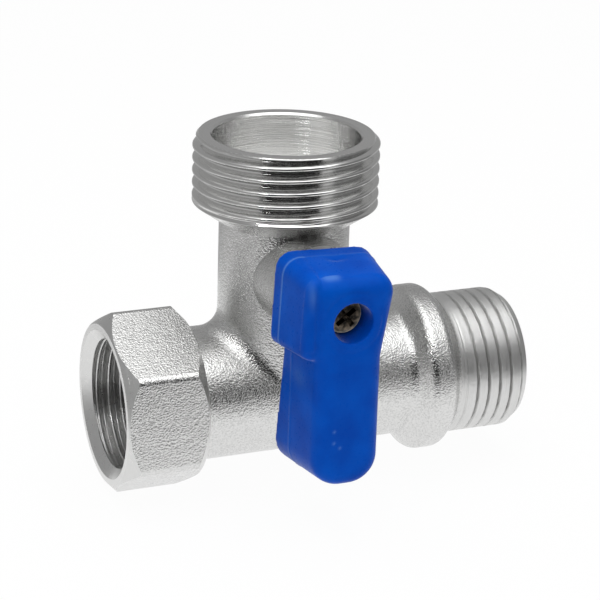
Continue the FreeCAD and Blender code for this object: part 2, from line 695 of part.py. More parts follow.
# Screw: a pan head that seats in the recess, and a shank in the stem's end.
handle_screw = body_named("handle_screw")
turned_on_stem(handle_screw, "Revolution", "screw_form", [
    ("0", f"{RECESS_FLOOR} - screw_length"),
    ("screw_r", f"{RECESS_FLOOR} - screw_length"),
    ("screw_r", RECESS_FLOOR),
    ("screw_head_r", RECESS_FLOOR),
    ("screw_head_r", f"{RECESS_FLOOR} + screw_head_rim"),
    ("screw_head_r - screw_crown_inset", f"{RECESS_FLOOR} + screw_head_height"),
    ("0", f"{RECESS_FLOOR} + screw_head_height"),
])

doc.recompute()
for item in doc.Objects:
    if "Invalid" in item.State or "Error" in item.State:
        raise RuntimeError(f"{item.Name} failed: {item.State}")
for piece in pieces:
    if piece.Shape.isNull() or not piece.Shape.isValid():
        raise RuntimeError(f"{piece.Label} has no valid shape")

os.makedirs("parts", exist_ok=True)
for piece in pieces:
    piece.Shape.exportStep(f"parts/{piece.Label}.step")
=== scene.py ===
import math

import bmesh
import bpy
from mathutils import Matrix, Vector


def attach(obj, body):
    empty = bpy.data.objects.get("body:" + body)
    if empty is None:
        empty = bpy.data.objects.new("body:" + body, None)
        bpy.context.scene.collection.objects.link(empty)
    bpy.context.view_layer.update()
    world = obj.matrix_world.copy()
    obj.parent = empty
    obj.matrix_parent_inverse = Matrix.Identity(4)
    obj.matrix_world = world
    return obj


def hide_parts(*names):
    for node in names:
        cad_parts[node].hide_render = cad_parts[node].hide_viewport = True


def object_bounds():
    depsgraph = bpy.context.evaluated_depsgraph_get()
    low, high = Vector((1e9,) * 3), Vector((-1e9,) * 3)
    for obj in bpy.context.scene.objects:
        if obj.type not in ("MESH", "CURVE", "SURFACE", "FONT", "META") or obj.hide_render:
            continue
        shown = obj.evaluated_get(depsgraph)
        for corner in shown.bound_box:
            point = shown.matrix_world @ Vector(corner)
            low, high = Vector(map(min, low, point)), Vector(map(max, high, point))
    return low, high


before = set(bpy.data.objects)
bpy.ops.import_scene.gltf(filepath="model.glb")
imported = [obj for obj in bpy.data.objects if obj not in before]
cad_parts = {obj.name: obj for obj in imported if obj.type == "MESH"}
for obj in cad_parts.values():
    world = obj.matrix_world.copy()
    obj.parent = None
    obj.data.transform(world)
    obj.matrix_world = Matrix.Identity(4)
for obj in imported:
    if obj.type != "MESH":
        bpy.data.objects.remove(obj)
cad_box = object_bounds()

# Valve body: a brass tee, forged hot, sand-blasted, then bored, turned and threaded and plated with
# nickel. The forged skin keeps the grain of the blasting, the turned faces keep the rings of the tool.
MM = 0.001


def linear(hex_colour):
    """An sRGB hex colour as linear red, green, blue and alpha."""
    channels = [int(hex_colour[i:i + 2], 16) / 255 for i in (1, 3, 5)]
    return [c / 12.92 if c <= 0.04045 else ((c + 0.055) / 1.055) ** 2.4 for c in channels] + [1.0]


def add(tree, kind, sockets=None, **settings):
    """Add a node, set its properties, and link or fill its input sockets."""
    node = tree.nodes.new(kind)
    for key, value in settings.items():
        setattr(node, key, value)
    for key, value in (sockets or {}).items():
        if isinstance(value, bpy.types.NodeSocket):
            tree.links.new(value, node.inputs[key])
        else:
            node.inputs[key].default_value = value
    return node


def bare_material(name):
    """A new material with no nodes yet, and its tree."""
    material = bpy.data.materials.new(name)
    material.use_nodes = True
    material.node_tree.nodes.clear()
    return material, material.node_tree


# Nickel plate on blasted brass: a neutral bright metal whose shot dimples, about a quarter of a millimetre
# wide, break each reflection into light and dark specks. Wider dents from the forging lie under them.
GRIT, DENT, DENT_SHARE, GRIT_DEPTH = 0.27 * MM, 1.6 * MM, 0.4, 0.10 * MM
blasted_nickel, tree = bare_material("nickel_plate_blasted")
place = add(tree, "ShaderNodeTexCoord").outputs["Object"]
grit = add(tree, "ShaderNodeTexNoise", {
    "Vector": place, "Scale": 1 / GRIT, "Detail": 2.0, "Roughness": 0.6})
dent = add(tree, "ShaderNodeTexNoise", {"Vector": place, "Scale": 1 / DENT, "Detail": 1.0})
relief = add(tree, "ShaderNodeMath", {
    0: dent.outputs["Fac"], 1: DENT_SHARE, 2: grit.outputs["Fac"]}, operation="MULTIPLY_ADD")
bump = add(tree, "ShaderNodeBump", {"Height": relief.outputs[0], "Strength": 1.0, "Distance": GRIT_DEPTH})
sheen = add(tree, "ShaderNodeMapRange", {"Value": dent.outputs["Fac"], 1: 0.3, 2: 0.7, 3: 0.1, 4: 0.18})
tone = add(tree, "ShaderNodeValToRGB", {"Fac": grit.outputs["Fac"]})
for stop, position, tint in zip(tone.color_ramp.elements, (0.3, 0.55), ("#C8C8C7", "#DCDCDB")):
    stop.position, stop.color = position, linear(tint)
skin = add(tree, "ShaderNodeBsdfPrincipled", {
    "Base Color": tone.outputs["Color"], "Metallic": 1.0,
    "Roughness": sheen.outputs[0], "Normal": bump.outputs["Normal"]})
add(tree, "ShaderNodeOutputMaterial", {"Surface": skin.outputs[0]})

# Nickel plate on turned brass: smoother and brighter, with rings round the axis it was turned on, about
# five to the millimetre, drawn coarser and deeper than a fine tool leaves them so that they show.
RING, STAIN, STAIN_SHARE = 0.2 * MM, 0.7 * MM, 0.5


def turned_metal(name, hex_colour, middle, axis, roughness, mark=0.009):
    """A finish with tool rings, so many mm deep, round an axis ('X', 'Y' or 'Z') through a point."""
    material, tree = bare_material(name)
    place = add(tree, "ShaderNodeTexCoord").outputs["Object"]
    centred = add(tree, "ShaderNodeMapping", {"Vector": place, "Location": -Vector(middle)})
    across = [0.0 if letter == axis else 1.0 for letter in "XYZ"]
    flat = add(tree, "ShaderNodeVectorMath", {0: centred.outputs[0], 1: across}, operation="MULTIPLY")
    radius = add(tree, "ShaderNodeVectorMath", {0: flat.outputs[0]}, operation="LENGTH")
    parts = add(tree, "ShaderNodeSeparateXYZ", {0: centred.outputs[0]})
    ring = add(tree, "ShaderNodeMath", {0: radius.outputs["Value"], 1: parts.outputs[axis]})
    rings = add(tree, "ShaderNodeTexNoise", {
        "W": ring.outputs[0], "Scale": 1 / RING, "Detail": 3.0, "Roughness": 0.7}, noise_dimensions="1D")
    stain = add(tree, "ShaderNodeTexNoise", {"Vector": place, "Scale": 1 / STAIN, "Detail": 3.0})
    relief = add(tree, "ShaderNodeMath", {
        0: stain.outputs["Fac"], 1: STAIN_SHARE, 2: rings.outputs["Fac"]}, operation="MULTIPLY_ADD")
    bump = add(tree, "ShaderNodeBump", {"Height": relief.outputs[0], "Strength": 1.0, "Distance": mark * MM})
    gloss = add(tree, "ShaderNodeMapRange", {
        "Value": stain.outputs["Fac"], 1: 0.3, 2: 0.7, 3: roughness - 0.04, 4: roughness + 0.06})
    metal = add(tree, "ShaderNodeBsdfPrincipled", {
        "Base Color": linear(hex_colour), "Metallic": 1.0,
        "Roughness": gloss.outputs[0], "Normal": bump.outputs["Normal"]})
    add(tree, "ShaderNodeOutputMaterial", {"Surface": metal.outputs[0]})
    return material


# The tool was finest on the branch, which mirrors best, and coarsest on the outlet and on the mouth's wall.
# The mouth's floor and the bush in it stay matt. The mouth's wall, floor and bush are painted paler than the
# nickel elsewhere, as painted light inside the mouth.
BRANCH, BALL_Z = Vector((25.7, 0, 0)) * MM, 18.6 * MM
NICKEL, RUN, STEM = "#DADAD9", (0, 0, 0), (BRANCH.x, 0, BALL_Z)
turned_on_branch = turned_metal("nickel_plate_turned_branch", NICKEL, BRANCH, "Z", 0.14, 0.013)
turned_on_run = turned_metal("nickel_plate_turned_run", NICKEL, RUN, "X", 0.3, 0.03)
turned_on_outlet = turned_metal("nickel_plate_turned_outlet", NICKEL, RUN, "X", 0.36, 0.07)
turned_on_stem = turned_metal("nickel_plate_turned_boss", NICKEL, STEM, "Y", 0.3)
# Painted light: the mouth's wall and floor get a paler nickel than the body, so the inside of the mouth looks
# lit.
bored_nickel_painted_light = turned_metal("nickel_plate_bored_painted_light", "#F2F2F1", BRANCH, "Z", 0.13, 0.065)
matt_nickel_painted_light = turned_metal("nickel_plate_matt_painted_light", "#FAFAF9", BRANCH, "Z", 0.8)

# The pipe threads follow one rule: a right-hand ridge of rounded 55 degree form, 14 turns to the inch,
# that fades out at its foot and runs into the chamfer at its end. It is unrolled as a grid and wrapped round.
ROOT_SHARE, MERGE = 0.44, 0.001 * MM
thread_tree = bpy.data.node_groups.new("pipe_thread", "GeometryNodeTree")
for name, kind in (("Crest radius", "NodeSocketFloat"), ("Root radius", "NodeSocketFloat"),
                   ("Crest share", "NodeSocketFloat"), ("Pitch", "NodeSocketFloat"),
                   ("Length", "NodeSocketFloat"), ("Start turn", "NodeSocketFloat"),
                   ("Run-in", "NodeSocketFloat"), ("Run-out", "NodeSocketFloat"),
                   ("Chamfer length", "NodeSocketFloat"), ("Chamfer share", "NodeSocketFloat"),
                   ("Segments", "NodeSocketInt"), ("Rows", "NodeSocketInt"),
                   ("Finish", "NodeSocketMaterial")):
    thread_tree.interface.new_socket(name, in_out="INPUT", socket_type=kind)
thread_tree.interface.new_socket("Thread", in_out="OUTPUT", socket_type="NodeSocketGeometry")
given = add(thread_tree, "NodeGroupInput").outputs
grid = add(thread_tree, "GeometryNodeMeshGrid", {
    "Size X": 1.0, "Size Y": 1.0, "Vertices X": given["Segments"], "Vertices Y": given["Rows"]})
position = add(thread_tree, "GeometryNodeInputPosition")
spot = add(thread_tree, "ShaderNodeSeparateXYZ", {0: position.outputs[0]})
around = add(thread_tree, "ShaderNodeMath", {0: spot.outputs["X"], 1: 0.5})
along = add(thread_tree, "ShaderNodeMath", {0: spot.outputs["Y"], 1: 0.5})
height = add(thread_tree, "ShaderNodeMath", {0: along.outputs[0], 1: given["Length"]}, operation="MULTIPLY")
turns = add(thread_tree, "ShaderNodeMath", {0: height.outputs[0], 1: given["Pitch"]}, operation="DIVIDE")
start = add(thread_tree, "ShaderNodeMath", {0: around.outputs[0], 1: given["Start turn"]})
phase = add(thread_tree, "ShaderNodeMath", {0: turns.outputs[0], 1: start.outputs[0]}, operation="SUBTRACT")
wave = add(thread_tree, "ShaderNodeMath", {0: phase.outputs[0], 1: 0.5}, operation="PINGPONG")
depth = add(thread_tree, "ShaderNodeMapRange", {
    "Value": wave.outputs[0], 1: given["Crest share"], 2: ROOT_SHARE}, interpolation_type="SMOOTHSTEP")
fade_in = add(thread_tree, "ShaderNodeMapRange", {
    "Value": height.outputs[0], 1: 0.0, 2: given["Run-in"]}, interpolation_type="SMOOTHSTEP")
left = add(thread_tree, "ShaderNodeMath", {0: given["Length"], 1: height.outputs[0]}, operation="SUBTRACT")
fade_out = add(thread_tree, "ShaderNodeMapRange", {
    "Value": left.outputs[0], 1: 0.0, 2: given["Run-out"]}, interpolation_type="SMOOTHSTEP")
fade = add(thread_tree, "ShaderNodeMath", {
    0: fade_in.outputs[0], 1: fade_out.outputs[0]}, operation="MULTIPLY")
groove = add(thread_tree, "ShaderNodeMath", {0: depth.outputs[0], 1: fade.outputs[0]}, operation="MULTIPLY")
chamfer = add(thread_tree, "ShaderNodeMapRange", {
    "Value": left.outputs[0], 1: given["Chamfer length"], 2: 0.0, 3: 0.0, 4: given["Chamfer share"]})
cut = add(thread_tree, "ShaderNodeMath", {0: groove.outputs[0], 1: chamfer.outputs[0]}, operation="MAXIMUM")
fall = add(thread_tree, "ShaderNodeMath", {
    0: given["Root radius"], 1: given["Crest radius"]}, operation="SUBTRACT")
radius = add(thread_tree, "ShaderNodeMath", {
    0: cut.outputs[0], 1: fall.outputs[0], 2: given["Crest radius"]}, operation="MULTIPLY_ADD")
angle = add(thread_tree, "ShaderNodeMath", {0: around.outputs[0], 1: math.tau}, operation="MULTIPLY")
cosine = add(thread_tree, "ShaderNodeMath", {0: angle.outputs[0]}, operation="COSINE")
sine = add(thread_tree, "ShaderNodeMath", {0: angle.outputs[0]}, operation="SINE")
east = add(thread_tree, "ShaderNodeMath", {0: radius.outputs[0], 1: cosine.outputs[0]}, operation="MULTIPLY")
north = add(thread_tree, "ShaderNodeMath", {0: radius.outputs[0], 1: sine.outputs[0]}, operation="MULTIPLY")
wrapped = add(thread_tree, "ShaderNodeCombineXYZ", {
    0: east.outputs[0], 1: north.outputs[0], 2: height.outputs[0]})
rolled = add(thread_tree, "GeometryNodeSetPosition", {
    "Geometry": grid.outputs["Mesh"], "Position": wrapped.outputs[0]})
welded = add(thread_tree, "GeometryNodeMergeByDistance", {
    "Geometry": rolled.outputs[0], "Distance": MERGE})
smooth = add(thread_tree, "GeometryNodeSetShadeSmooth", {0: welded.outputs[0]})
whole = add(thread_tree, "GeometryNodeRealizeInstances", {0: smooth.outputs[0]})
finished = add(thread_tree, "GeometryNodeSetMaterial", {
    "Geometry": whole.outputs[0], "Material": given["Finish"]})
add(thread_tree, "NodeGroupOutput", {0: finished.outputs[0]})


def placed(name, data):
    """A new object at the origin of the scene."""
    piece = bpy.data.objects.new(name, data)
    bpy.context.scene.collection.objects.link(piece)
    return piece


def thread_mesh(name, settings, turn, foot):
    """The wrapped thread as a plain mesh, turned from +Z and moved so that it starts at its foot."""
    host = placed(name, bpy.data.meshes.new(name))
    modifier = host.modifiers.new("thread", "NODES")
    modifier.node_group = thread_tree
    for item in thread_tree.interface.items_tree:
        if item.in_out == "INPUT":
            modifier[item.identifier] = settings[item.name]
    shaped = host.evaluated_get(bpy.context.evaluated_depsgraph_get())
    mesh = bpy.data.meshes.new_from_object(shaped)
    bpy.data.objects.remove(host)
    mesh.transform(Matrix.Translation(foot) @ turn)
    return mesh


WELD = 0.0005 * MM


def threaded_copy(name, node, finishes, finish_of, bands):
    """A welded copy of a CAD node whose plain thread bands are exchanged for real threads.

    finish_of(middle, normal) gives the number of a face's finish, with the middle in millimetres.
    Each band is (thread mesh, finish number, axis number, middle of the band along that axis in
    millimetres, test of a point in millimetres that lies on the plain band).
    """
    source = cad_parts[node].data
    mesh = source.copy()
    exact = mesh.attributes.new("exact_normal", "FLOAT_VECTOR", "CORNER")
    exact.data.foreach_set("vector", [part for corner in source.corner_normals for part in corner.vector])
    shell = bmesh.new()
    shell.from_mesh(mesh)
    bmesh.ops.remove_doubles(shell, verts=shell.verts, dist=WELD)
    for face in shell.faces:
        face.material_index = finish_of(face.calc_center_median() / MM, face.normal)
        face.smooth = True
    for thread, finish, axis, middle, on_band in bands:
        plain = [face for face in shell.faces if all(on_band(v.co / MM) for v in face.verts)]
        bmesh.ops.delete(shell, geom=plain, context="FACES")
        before = len(shell.faces)
        shell.from_mesh(thread)
        rims = [edge for edge in shell.edges if edge.is_boundary]
        upper = [edge for edge in rims if edge.verts[0].co[axis] / MM > middle]
        lower = [edge for edge in rims if edge.verts[0].co[axis] / MM < middle]
        bmesh.ops.bridge_loops(shell, edges=upper)
        bmesh.ops.bridge_loops(shell, edges=lower)
        shell.faces.ensure_lookup_table()
        for face in shell.faces[before:]:
            face.material_index = finish
            face.smooth = True
    bmesh.ops.recalc_face_normals(shell, faces=shell.faces)
    mesh.materials.clear()
    for finish in finishes:
        mesh.materials.append(finish)
    shell.to_mesh(mesh)
    shell.free()
    normals = [Vector(corner.vector) for corner in mesh.attributes["exact_normal"].data]
    mesh.attributes.remove(mesh.attributes["exact_normal"])
    mesh.normals_split_custom_set(normals)
    return placed(name, mesh)


PITCH, THREAD_DEPTH = 25.4 / 14, 1.162
BRANCH_FOOT, BRANCH_TOP, BRANCH_CREST, BRANCH_CHAMFER = 28.1, 37.8, 13.2205, 0.8
OUTLET_FOOT, OUTLET_END, OUTLET_CREST, OUTLET_CHAMFER, OUTLET_LEAD = 50.65, 61.3, 10.4775, 1.0, 1.5
SEAM, NEAR = 0.03, 0.01
ALONG_RUN = Matrix.Rotation(math.radians(90), 4, "Y")
branch_thread = thread_mesh("branch_thread", {
    "Crest radius": BRANCH_CREST * MM, "Root radius": (BRANCH_CREST - THREAD_DEPTH) * MM,
    "Crest share": 0.05, "Pitch": PITCH * MM, "Length": (BRANCH_TOP - BRANCH_FOOT - 2 * SEAM) * MM,
    "Start turn": 0.905, "Run-in": 1.2 * MM, "Run-out": 0.4 * MM,
    "Chamfer length": BRANCH_CHAMFER * MM, "Chamfer share": BRANCH_CHAMFER / THREAD_DEPTH,
    "Segments": 193, "Rows": 116, "Finish": turned_on_branch,
}, Matrix(), BRANCH + Vector((0, 0, BRANCH_FOOT + SEAM)) * MM)
outlet_thread = thread_mesh("outlet_thread", {
    "Crest radius": OUTLET_CREST * MM, "Root radius": (OUTLET_CREST - THREAD_DEPTH) * MM,
    "Crest share": 0.36, "Pitch": PITCH * MM, "Length": (OUTLET_END - OUTLET_FOOT - 2 * SEAM) * MM,
    "Start turn": 0.0, "Run-in": 3.0 * MM, "Run-out": 0.4 * MM,
    "Chamfer length": OUTLET_LEAD * MM, "Chamfer share": OUTLET_CHAMFER / THREAD_DEPTH,
    "Segments": 161, "Rows": 122, "Finish": turned_on_outlet,
}, ALONG_RUN, Vector((OUTLET_FOOT + SEAM, 0, 0)) * MM)

# Where one finish of the body meets the next, in millimetres: heights, radii, and places along the run.
BLASTED, BY_BRANCH, BY_RUN, BY_STEM, MOUTH_WALL, MOUTH_FLOOR, BY_OUTLET = range(7)
MOUTH_FOOT, MOUTH_RIM, MOUTH_R, UPRIGHT = 29.0, 31.0, 10.6, 0.3
BRANCH_R, CONE_TOP, BOSS_FRONT = 13.5, BRANCH_FOOT - 0.1, -13.5
RUN_BORE_R, NECK_END, OUTLET_START = 6.9, 12.4, 50.1
CHAMBER_R, CHAMBER_FOOT = 8.7, 6.0


def from_run(point):
    return math.hypot(point.y, point.z)


def from_branch(point):
    return math.hypot(point.x - BRANCH.x / MM, point.y)


def body_finish(middle, normal):
    """The finish of a face of the body, from its middle in millimetres and its normal."""
    if middle.z > MOUTH_FOOT and from_branch(middle) < MOUTH_R:
        if abs(normal.z) < UPRIGHT:
            return MOUTH_WALL
        return MOUTH_FLOOR if middle.z < MOUTH_RIM else BY_BRANCH
    if middle.z > CONE_TOP and from_branch(middle) < BRANCH_R:
        return BY_BRANCH
    if middle.y < BOSS_FRONT:
        return BY_STEM
    if from_run(middle) < RUN_BORE_R or middle.x < NECK_END:
        return BY_RUN
    if middle.x > OUTLET_START:
        return BY_OUTLET
    if from_branch(middle) < CHAMBER_R and abs(middle.y) < CHAMBER_R and middle.z > CHAMBER_FOOT:
        return BY_BRANCH
    return BLASTED


def on_branch_band(point):
    low = BRANCH_CREST - BRANCH_CHAMFER - NEAR
    return point.z > BRANCH_FOOT - NEAR and low < from_branch(point) < BRANCH_CREST + NEAR


def on_outlet_band(point):
    low = OUTLET_CREST - OUTLET_CHAMFER - NEAR
    return point.x > OUTLET_FOOT - 5 * NEAR and low < from_run(point) < OUTLET_CREST + NEAR


body_piece = threaded_copy(
    "tee_body", "valve_body",
    [blasted_nickel, turned_on_branch, turned_on_run, turned_on_stem, bored_nickel_painted_light, matt_nickel_painted_light,
     turned_on_outlet], body_finish,
    [(branch_thread, BY_BRANCH, 2, (BRANCH_FOOT + BRANCH_TOP) / 2, on_branch_band),
     (outlet_thread, BY_OUTLET, 0, (OUTLET_FOOT + OUTLET_END) / 2, on_outlet_band)])
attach(body_piece, "valve")
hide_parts("valve_body")

# Union nut: cut from hexagon brass bar, its ends chamfered and its thread cut on a lathe, plated like the
# body. It turns freely on the neck and draws the flat gasket against the supply pipe.
NUT_MINOR, NUT_THREAD, NUT_SKIN_R, NUT_LEAN = 9.3155, 5.2, 11.0, 0.05
FLATS, TURNED = range(2)
nut_thread = thread_mesh("nut_thread", {
    "Crest radius": NUT_MINOR * MM, "Root radius": (NUT_MINOR + THREAD_DEPTH) * MM,
    "Crest share": 0.06, "Pitch": PITCH * MM, "Length": (NUT_THREAD - 2 * SEAM) * MM,
    "Start turn": 0.2, "Run-in": 0.4 * MM, "Run-out": 0.6 * MM,
    "Chamfer length": 0.1 * MM, "Chamfer share": 0.0,
    "Segments": 161, "Rows": 72, "Finish": turned_on_run,
}, ALONG_RUN, Vector((SEAM, 0, 0)) * MM)


def nut_finish(middle, normal):
    """The flats of the hexagon are blasted, and everything that leans along the run was turned."""
    return FLATS if from_run(middle) > NUT_SKIN_R and abs(normal.x) < NUT_LEAN else TURNED


def on_nut_band(point):
    return -NEAR < point.x < NUT_THREAD + NEAR and abs(from_run(point) - NUT_MINOR) < NEAR


nut_piece = threaded_copy(
    "swivel_union_nut", "union_nut", [blasted_nickel, turned_on_run], nut_finish,
    [(nut_thread, TURNED, 0, NUT_THREAD / 2, on_nut_band)])
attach(nut_piece, "swivel_nut")
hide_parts("union_nut")

# Gasket and stem rings: moulded from black nitrile rubber, matt, with the fine grain of the mould.
# The gasket lies loose in the nut, and the two rings are stretched into the stem's grooves.
RUBBER_GRAIN = 0.15 * MM
rubber, tree = bare_material("black_nitrile_rubber")
grain = add(tree, "ShaderNodeTexNoise", {
    "Vector": add(tree, "ShaderNodeTexCoord").outputs["Object"], "Scale": 1 / RUBBER_GRAIN, "Detail": 2.0})
bump = add(tree, "ShaderNodeBump", {"Height": grain.outputs["Fac"], "Strength": 1.0, "Distance": 0.01 * MM})
tone = add(tree, "ShaderNodeValToRGB", {"Fac": grain.outputs["Fac"]})
for stop, tint in zip(tone.color_ramp.elements, ("#111111", "#222120")):
    stop.color = linear(tint)
skin = add(tree, "ShaderNodeBsdfPrincipled", {
    "Base Color": tone.outputs["Color"], "Roughness": 0.7, "IOR": 1.52, "Normal": bump.outputs["Normal"]})
add(tree, "ShaderNodeOutputMaterial", {"Surface": skin.outputs[0]})
for node in ("union_gasket", "stem_o_ring_inner", "stem_o_ring_outer"):
    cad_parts[node].material_slots[0].material = rubber

# Ball: turned from brass, bored, ground round and plated with hard chrome, which mirrors with only a
# trace of haze. It floats between its two seats, and the stem's tongue turns it.
chrome = turned_metal("hard_chrome_plate", "#E3E5E7", STEM, "Z", 0.09)
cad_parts["ball"].material_slots[0].material = chrome

# Seats and thrust washer: pressed and turned from PTFE, white and waxy, with faint clouds in it.
# The seats hold the ball from both sides, and the washer lies between the stem's collar and the boss.
PTFE_CLOUD = 0.5 * MM
ptfe, tree = bare_material("white_ptfe")
cloud = add(tree, "ShaderNodeTexNoise", {
    "Vector": add(tree, "ShaderNodeTexCoord").outputs["Object"], "Scale": 1 / PTFE_CLOUD, "Detail": 3.0})
bump = add(tree, "ShaderNodeBump", {"Height": cloud.outputs["Fac"], "Strength": 1.0, "Distance": 0.008 * MM})
tone = add(tree, "ShaderNodeValToRGB", {"Fac": cloud.outputs["Fac"]})
for stop, tint in zip(tone.color_ramp.elements, ("#E6E4DC", "#F3F2EE")):
    stop.color = linear(tint)
skin = add(tree, "ShaderNodeBsdfPrincipled", {
    "Base Color": tone.outputs["Color"], "Roughness": 0.42, "IOR": 1.35, "Normal": bump.outputs["Normal"]})
add(tree, "ShaderNodeOutputMaterial", {"Surface": skin.outputs[0]})
for node in ("inner_seat", "outer_seat", "stem_thrust_washer"):
    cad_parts[node].material_slots[0].material = ptfe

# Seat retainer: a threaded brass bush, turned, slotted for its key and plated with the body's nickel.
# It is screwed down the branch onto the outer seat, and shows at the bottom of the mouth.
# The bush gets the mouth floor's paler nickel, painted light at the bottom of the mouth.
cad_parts["seat_retainer"].material_slots[0].material = matt_nickel_painted_light

# Stem: turned and milled from brass rod and left unplated, yellow with the rings of the tool. It is put
# in from inside the body. The handle round it is not mirrored in the metal, so neither is the stem.
brass_on_stem = turned_metal("bare_brass_turned_stem", "#D2A95A", STEM, "Y", 0.26)
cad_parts["stem"].material_slots[0].material = brass_on_stem
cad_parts["stem"].visible_glossy = False

# Handle: one moulding of blue ABS, half gloss. The mould leaves a soft grain, rounded edges, a thin
# parting line round the sides, a sink mark on top and a shallow groove round the screw's recess. Painted
# highlights lighten the parting line, the front top edge and the thumb block's edge, and a few pale specks
# and a pale smudge lie on the side. The mirrored handle would tint the whole body blue, so gloss does not
# show it.
BLUE_CLOUD, BLUE_GRAIN = 5.0 * MM, 0.35 * MM
blue_abs, tree = bare_material("blue_abs_moulded")
place = add(tree, "ShaderNodeTexCoord").outputs["Object"]
cloud = add(tree, "ShaderNodeTexNoise", {"Vector": place, "Scale": 1 / BLUE_CLOUD, "Detail": 3.0})
grain = add(tree, "ShaderNodeTexNoise", {"Vector": place, "Scale": 1 / BLUE_GRAIN, "Detail": 2.0})
tone = add(tree, "ShaderNodeValToRGB", {"Fac": cloud.outputs["Fac"]})
for stop, position, tint in zip(tone.color_ramp.elements, (0.3, 0.7), ("#0043AB", "#0053C0")):
    stop.position, stop.color = position, linear(tint)
gloss = add(tree, "ShaderNodeMapRange", {"Value": grain.outputs["Fac"], 1: 0.3, 2: 0.7, 3: 0.26, 4: 0.38})
bump = add(tree, "ShaderNodeBump", {"Height": grain.outputs["Fac"], "Strength": 1.0, "Distance": 0.003 * MM})
# This attribute mixes the blue towards pale blue: painted highlights on the parting line, front top edge and
# thumb block, plus pale specks and a smudge.
highlight_and_speck = add(tree, "ShaderNodeAttribute", attribute_name="highlight_and_speck")
highlit_blue = add(tree, "ShaderNodeMix", {
    "Factor": highlight_and_speck.outputs["Fac"], "A": tone.outputs["Color"], "B": linear("#7FAEE0")}, data_type="RGBA")
skin = add(tree, "ShaderNodeBsdfPrincipled", {
    "Base Color": highlit_blue.outputs["Result"], "Roughness": gloss.outputs[0], "IOR": 1.53,
    "Specular IOR Level": 0.04, "Normal": bump.outputs["Normal"]})
add(tree, "ShaderNodeOutputMaterial", {"Surface": skin.outputs[0]})

MOULD_CELL, SOFTENINGS = 0.22 * MM, 5
handle_piece = placed("lever_handle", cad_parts["handle"].data.copy())
moulding = bmesh.new()
moulding.from_mesh(handle_piece.data)
bmesh.ops.remove_doubles(moulding, verts=moulding.verts, dist=WELD)
moulding.to_mesh(handle_piece.data)
moulding.free()
remesh = handle_piece.modifiers.new("mould_skin", "REMESH")
remesh.mode = "VOXEL"
remesh.voxel_size = MOULD_CELL
skin_mesh = bpy.data.meshes.new_from_object(
    handle_piece.evaluated_get(bpy.context.evaluated_depsgraph_get()))
handle_piece.modifiers.remove(remesh)
moulding = bmesh.new()
moulding.from_mesh(skin_mesh)
for repeat in range(SOFTENINGS):
    bmesh.ops.smooth_vert(
        moulding, verts=moulding.verts, factor=0.5, use_axis_x=True, use_axis_y=True, use_axis_z=True)
moulding.normal_update()

# Places on the handle are in millimetres: side from the stem's axis, out towards the front, rise above it.
# A mark of the mould, a painted highlight or a pale speck is a soft bell, with a middle and a half width for
# each way that it runs.
# The ledge beside the thumb block rises from a start over a length.
HANDLE_FRONT, FRONT_SKIN, PARTING = 25.8, 0.4, 17.2
HUB_HALF, HUB_TOP, LEVER_FOOT, SIDEWAYS, UPWARD = 4.2, 6.2, -21.5, 0.35, 0.7
# The parting line's painted highlight is strong beyond one side and above one rise, up the thumb block.
BRIGHT_SEAM_SIDE, BRIGHT_SEAM_FOOT, SMUDGE_SIDE, TOP_FOOT = -4.0, -5.5, -4.5, 6.0
GROOVE_R, GROOVE_HALF, GROOVE_DEPTH = 4.3, 0.3, 0.1
# The parting line is a real low ridge, lightened by a painted highlight, strong up the thumb block and faint
# elsewhere.
SEAM_HALF, SEAM_RISE, SEAM_HIGHLIGHT, SEAM_FAINT_HIGHLIGHT = 0.16, 0.07, 0.4, 0.1
SINK_SIDE, SINK_OUT, SINK_DEPTH = (0.2, 1.2), (18.3, 0.7), 0.3
SMUDGE_OUT, SMUDGE_RISE, SMUDGE_PALE = (19.5, 2.0), (-9.4, 1.4), 0.12
LEDGE_SIDE, LEDGE_FOOT, LEDGE_BACK, LEDGE_HEIGHT = (-5.0, 0.5), (-4.0, 0.6), (23.5, 1.4), 0.28
# Painted highlights: a soft one on the thumb block's front edge and a narrow one along the front top edge.
BLOCK_SIDE, BLOCK_RISE, BLOCK_HIGHLIGHT = (-5.7, 0.4), (4.2, 1.6), 0.16
EDGE_RISE, EDGE_SIDE, EDGE_HIGHLIGHT = (6.35, 0.28), (-2.9, 1.3), 0.28
SPECKS, SPECK_HALF, SPECK_PALE = ((-2.3, -15.4), (-2.3, -17.1), (-1.4, -17.9)), 0.2, 0.3


def bell(value, middle, half, power=2):
    """1 at the middle, falling softly to nothing a few half widths away."""
    return math.exp(-abs((value - middle) / half) ** power)


def step(value, start, length):
    """0 before the start and 1 a length after it, with a straight slope between."""
    return min(max((value - start) / length, 0.0), 1.0)


